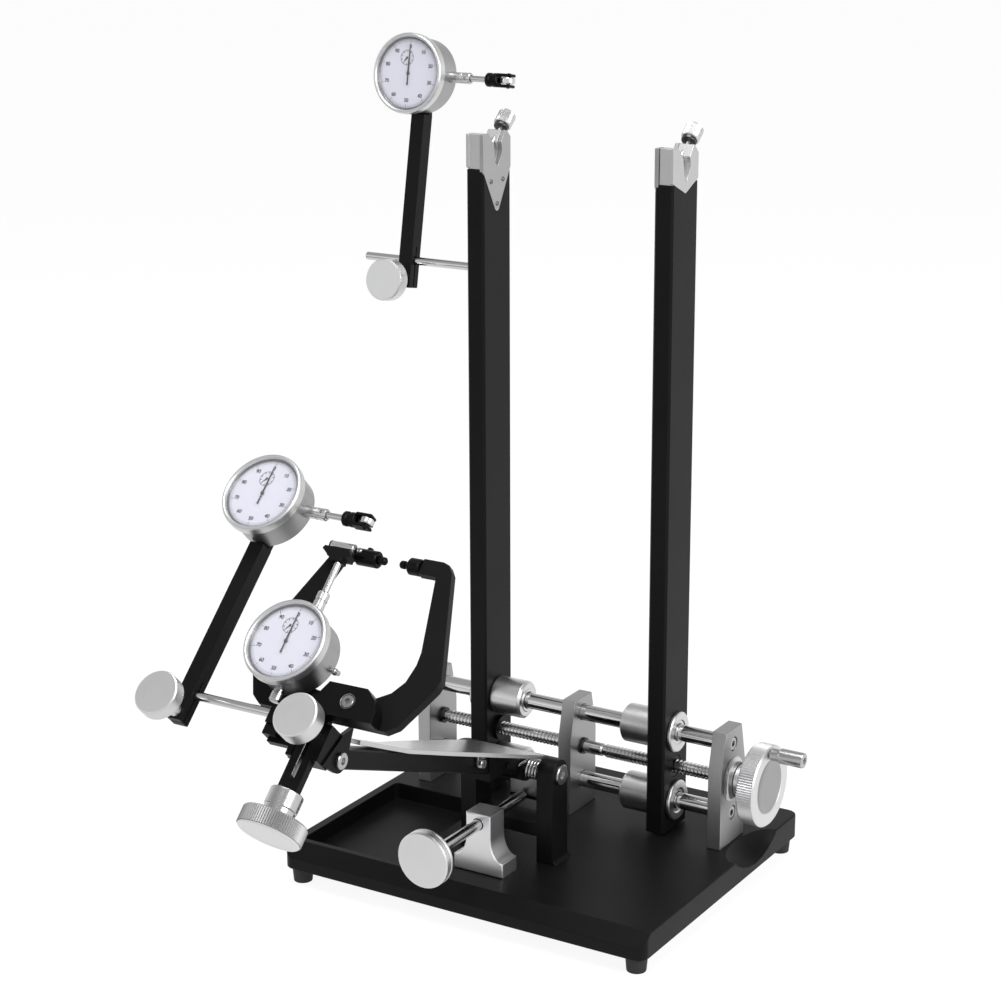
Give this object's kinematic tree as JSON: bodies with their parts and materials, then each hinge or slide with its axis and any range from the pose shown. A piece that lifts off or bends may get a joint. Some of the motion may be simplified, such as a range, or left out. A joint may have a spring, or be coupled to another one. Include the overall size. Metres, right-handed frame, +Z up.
{
  "type": "bicycle wheel truing stand",
  "caption": "Bench stand with sliding uprights on a lead screw, a sprung swing arm with a rim caliper, and dial gauges that read rim runout.",
  "frame": {"origin": "on the base plate's underside, straight below the wheel's axle and midway between the uprights", "axes": "+X to the handwheel's side, which is the stand's right seen from the front, -Y to the front where the caliper is, +Z up"},
  "size_m": [0.365, 0.4693, 0.5948],
  "materials": {
    "black": "satin black powder coat",
    "silver": "fine satin",
    "steel": "fine turned",
    "chrome": "polished"
  },
  "bodies": {
    "base": {"base_plate": "black", "end_plate_left": "silver", "end_plate_middle": "silver", "end_plate_right": "silver", "guide_rod_upper": "chrome", "guide_rod_lower": "chrome", "adjuster_block": "silver", "yoke": "black", "arm_pivot_bolt": "steel", "torsion_spring": "steel"},
    "screw": {"lead_screw": "steel", "handwheel": "steel"},
    "grip": {"handwheel_grip": "steel"},
    "carriage_left": {"upright_left": "black", "slide_collar_upper_left": "silver", "slide_collar_lower_left": "silver", "lead_nut_left": "black", "dropout_cap_left": "silver", "dropout_plate_left": "silver", "upper_rod": "chrome"},
    "carriage_right": {"upright_right": "black", "slide_collar_upper_right": "silver", "slide_collar_lower_right": "silver", "lead_nut_right": "black", "dropout_cap_right": "silver", "dropout_plate_right": "silver"},
    "clamp_left": {"axle_clamp_left": "steel"},
    "clamp_right": {"axle_clamp_right": "steel"},
    "adjuster": {"adjuster_screw": "steel"},
    "adjuster_wheel": {"adjuster_knob": "silver"},
    "arm": {"swing_arm": "black", "lever_pin": "steel", "head_bolt": "steel"},
    "lever": {"lever_plate": "silver"},
    "head": {"head_bracket": "black", "cross_rod": "chrome"},
    "head_knob": {"head_clamp_knob": "silver"},
    "slide": {"slide_bar": "black", "pull_knob": "silver", "caliper": "black", "carrier_block": "black", "fixed_feeler": "black", "feeler_bush": "black", "front_dial_case": "silver"},
    "pin": {"feeler_pin": "steel"},
    "rocker": {"feeler_rocker": "black"},
    "front_plunger": {"front_dial_plunger": "steel"},
    "front_needle": {"front_dial_needle": "black"},
    "upper_arm": {"upper_arm_bar": "black", "upper_dial_case": "silver"},
    "upper_knob": {"upper_arm_knob": "silver"},
    "upper_plunger": {"upper_dial_plunger": "steel"},
    "upper_needle": {"upper_dial_needle": "black"},
    "upper_roller": {"upper_dial_roller": "steel"},
    "lower_arm": {"lower_arm_bar": "black", "lower_dial_case": "silver"},
    "lower_knob": {"lower_arm_knob": "silver"},
    "lower_plunger": {"lower_dial_plunger": "steel"},
    "lower_needle": {"lower_dial_needle": "black"},
    "lower_roller": {"lower_dial_roller": "steel"}
  },
  "joints": [
    {"name": "handwheel_turn", "type": "hinge", "parent": "base", "child": "screw", "pos_m": [0, 0, 0.0677], "axis": [1, 0, 0], "range_deg": [-4200, 3600]},
    {"name": "grip_spin", "type": "hinge", "parent": "screw", "child": "grip", "pos_m": [0.171, 0, 0.0927], "axis": [1, 0, 0], "continuous": true},
    {"name": "carriage_left_slide", "type": "slide", "parent": "base", "child": "carriage_left", "axis": [1, 0, 0], "range_m": [-0.03, 0.035]},
    {"name": "carriage_right_slide", "type": "slide", "parent": "base", "child": "carriage_right", "axis": [1, 0, 0], "range_m": [-0.035, 0.03]},
    {"name": "axle_clamp_left_turn", "type": "hinge", "parent": "carriage_left", "child": "clamp_left", "pos_m": [-0.0752, 0.0032, 0.507], "axis": [0, 0.766, 0.6428], "range_deg": [0, 1080]},
    {"name": "axle_clamp_right_turn", "type": "hinge", "parent": "carriage_right", "child": "clamp_right", "pos_m": [0.0752, 0.0032, 0.507], "axis": [0, 0.766, 0.6428], "range_deg": [0, 1080]},
    {"name": "adjuster_travel", "type": "slide", "parent": "base", "child": "adjuster", "axis": [0, 1, 0], "range_m": [-0.012, 0.0035]},
    {"name": "adjuster_turn", "type": "hinge", "parent": "adjuster", "child": "adjuster_wheel", "pos_m": [0, -0.2065, 0.0555], "axis": [0, 1, 0], "range_deg": [-3456, 1008]},
    {"name": "arm_swing", "type": "hinge", "parent": "base", "child": "arm", "pos_m": [0, -0.091, 0.0835], "axis": [1, 0, 0], "range_deg": [-24.56, 7.17]},
    {"name": "lever_rock", "type": "hinge", "parent": "arm", "child": "lever", "pos_m": [0, -0.15507, 0.10916], "axis": [1, 0, 0], "range_deg": [-3, 0]},
    {"name": "head_tilt", "type": "hinge", "parent": "arm", "child": "head", "pos_m": [0, -0.32189, 0.16983], "axis": [1, 0, 0], "range_deg": [-25, 25]},
    {"name": "head_knob_turn", "type": "hinge", "parent": "head", "child": "head_knob", "pos_m": [0, -0.34508, 0.20284], "axis": [0, 0.7009, -0.7133], "range_deg": [0, 720]},
    {"name": "caliper_slide", "type": "slide", "parent": "head", "child": "slide", "axis": [0, 0.7133, 0.7009], "range_m": [-0.001, 0.008]},
    {"name": "feeler_travel", "type": "slide", "parent": "slide", "child": "pin", "axis": [1, 0, 0], "range_m": [-0.002, 0], "stiffness_N_per_m": 100, "springref_m": 0.005},
    {"name": "rocker_turn", "type": "hinge", "parent": "slide", "child": "rocker", "pos_m": [-0.044, -0.24946, 0.27731], "axis": [0, 0.7009, -0.7133], "range_deg": [0, 8]},
    {"name": "front_plunger_travel", "type": "slide", "parent": "slide", "child": "front_plunger", "axis": [0, 0.7133, 0.7009], "range_m": [-0.002, 0]},
    {"name": "front_needle_turn", "type": "hinge", "parent": "slide", "child": "front_needle", "pos_m": [-0.0312, -0.31429, 0.238], "axis": [0, 0.7009, -0.7133], "range_deg": [0, 720]},
    {"name": "upper_arm_swing", "type": "hinge", "parent": "carriage_left", "child": "upper_arm", "pos_m": [-0.144, 0, 0.4189], "axis": [1, 0, 0], "range_deg": [-60, 60]},
    {"name": "upper_knob_turn", "type": "hinge", "parent": "upper_arm", "child": "upper_knob", "pos_m": [-0.144, -0.02977, 0.40916], "axis": [0, 0.9833, -0.1822], "range_deg": [0, 720]},
    {"name": "upper_plunger_travel", "type": "slide", "parent": "upper_arm", "child": "upper_plunger", "axis": [1, 0, 0], "range_m": [-0.01, 0], "stiffness_N_per_m": 60, "springref_m": 0.005},
    {"name": "upper_needle_turn", "type": "hinge", "parent": "upper_arm", "child": "upper_needle", "pos_m": [-0.144, 0.00234, 0.55444], "axis": [0, 0.9833, -0.1822], "range_deg": [0, 3600]},
    {"name": "upper_roller_spin", "type": "hinge", "parent": "upper_plunger", "child": "upper_roller", "pos_m": [-0.069, 0.01748, 0.55164], "axis": [0, 0.1822, 0.9833], "continuous": true},
    {"name": "lower_arm_swing", "type": "hinge", "parent": "head", "child": "lower_arm", "pos_m": [-0.098, -0.32875, 0.19435], "axis": [1, 0, 0], "range_deg": [-45, 60]},
    {"name": "lower_knob_turn", "type": "hinge", "parent": "lower_arm", "child": "lower_knob", "pos_m": [-0.098, -0.35872, 0.20345], "axis": [0, 0.7009, -0.7133], "range_deg": [0, 720]},
    {"name": "lower_plunger_travel", "type": "slide", "parent": "lower_arm", "child": "lower_plunger", "axis": [1, 0, 0], "range_m": [-0.01, 0], "stiffness_N_per_m": 60, "springref_m": 0.005},
    {"name": "lower_needle_turn", "type": "hinge", "parent": "lower_arm", "child": "lower_needle", "pos_m": [-0.098, -0.24566, 0.30741], "axis": [0, 0.7009, -0.7133], "range_deg": [0, 3600]},
    {"name": "lower_roller_spin", "type": "hinge", "parent": "lower_plunger", "child": "lower_roller", "pos_m": [-0.023, -0.23487, 0.29642], "axis": [0, 0.7133, 0.7009], "continuous": true}
  ],
  "couplings": [
    {"joint": "carriage_left_slide", "follows": "handwheel_turn", "m_per_rad": -0.00047746},
    {"joint": "carriage_right_slide", "follows": "handwheel_turn", "m_per_rad": 0.00047746},
    {"joint": "arm_swing", "follows": "adjuster_travel", "rad_per_m": 35.7},
    {"joint": "adjuster_turn", "follows": "adjuster_travel", "rad_per_m": 5026.5},
    {"joint": "rocker_turn", "follows": "feeler_travel", "rad_per_m": -69.8},
    {"joint": "front_plunger_travel", "follows": "feeler_travel", "ratio": 1},
    {"joint": "front_needle_turn", "follows": "feeler_travel", "rad_per_m": -6283.1},
    {"joint": "upper_needle_turn", "follows": "upper_plunger_travel", "rad_per_m": -6283.1},
    {"joint": "lower_needle_turn", "follows": "lower_plunger_travel", "rad_per_m": -6283.1}
  ]
}
